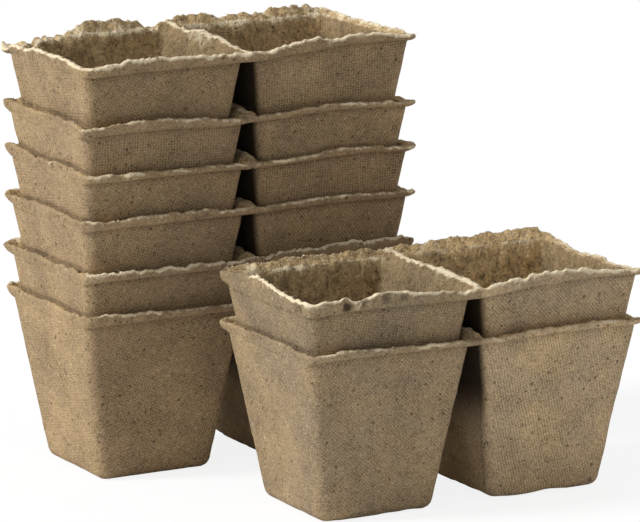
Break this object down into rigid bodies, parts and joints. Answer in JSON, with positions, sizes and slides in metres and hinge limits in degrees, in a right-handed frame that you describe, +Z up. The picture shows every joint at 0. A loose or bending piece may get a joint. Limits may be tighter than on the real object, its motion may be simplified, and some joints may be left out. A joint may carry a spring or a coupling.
{
  "type": "peat pot",
  "caption": "Square tapered peat pots moulded in strips with a ragged flared lip, nested in a tall stack and a low stack that stand on their flat undersides.",
  "frame": {"origin": "on the table, under the middle of the box round both stacks", "axes": "+X along the strips, +Y towards the tall stack at the back, +Z up"},
  "size_m": [0.1597, 0.1434, 0.1394],
  "materials": {
    "moulded_peat_pulp": "matte, fibrous moulded pulp with a fine mesh imprint"
  },
  "bodies": {
    "back_stack_strip_1": {"back_stack_strip_1": "moulded_peat_pulp"},
    "back_stack_strip_2": {"back_stack_strip_2": "moulded_peat_pulp"},
    "back_stack_strip_3": {"back_stack_strip_3": "moulded_peat_pulp"},
    "back_stack_strip_4": {"back_stack_strip_4": "moulded_peat_pulp"},
    "back_stack_strip_5": {"back_stack_strip_5": "moulded_peat_pulp"},
    "back_stack_strip_6": {"back_stack_strip_6": "moulded_peat_pulp"},
    "front_stack_strip_1": {"front_stack_strip_1": "moulded_peat_pulp"},
    "front_stack_strip_2": {"front_stack_strip_2": "moulded_peat_pulp"}
  },
  "joints": [
    {"name": "lift_back_stack_strip_2", "type": "slide", "parent": "back_stack_strip_1", "child": "back_stack_strip_2", "axis": [0, 0, 1], "range_m": [0, 0.06]},
    {"name": "lift_back_stack_strip_3", "type": "slide", "parent": "back_stack_strip_2", "child": "back_stack_strip_3", "axis": [0, 0, 1], "range_m": [0, 0.06]},
    {"name": "lift_back_stack_strip_4", "type": "slide", "parent": "back_stack_strip_3", "child": "back_stack_strip_4", "axis": [0, 0, 1], "range_m": [0, 0.06]},
    {"name": "lift_back_stack_strip_5", "type": "slide", "parent": "back_stack_strip_4", "child": "back_stack_strip_5", "axis": [0, 0, 1], "range_m": [0, 0.06]},
    {"name": "lift_back_stack_strip_6", "type": "slide", "parent": "back_stack_strip_5", "child": "back_stack_strip_6", "axis": [0, 0, 1], "range_m": [0, 0.06]},
    {"name": "lift_front_stack_strip_2", "type": "slide", "parent": "front_stack_strip_1", "child": "front_stack_strip_2", "axis": [0, 0, 1], "range_m": [0, 0.06]},
    {"name": "lift_front_stack_strip_1", "type": "slide", "parent": "back_stack_strip_1", "child": "front_stack_strip_1", "axis": [0, 0, 1], "range_m": [0, 0.06]}
  ]
}
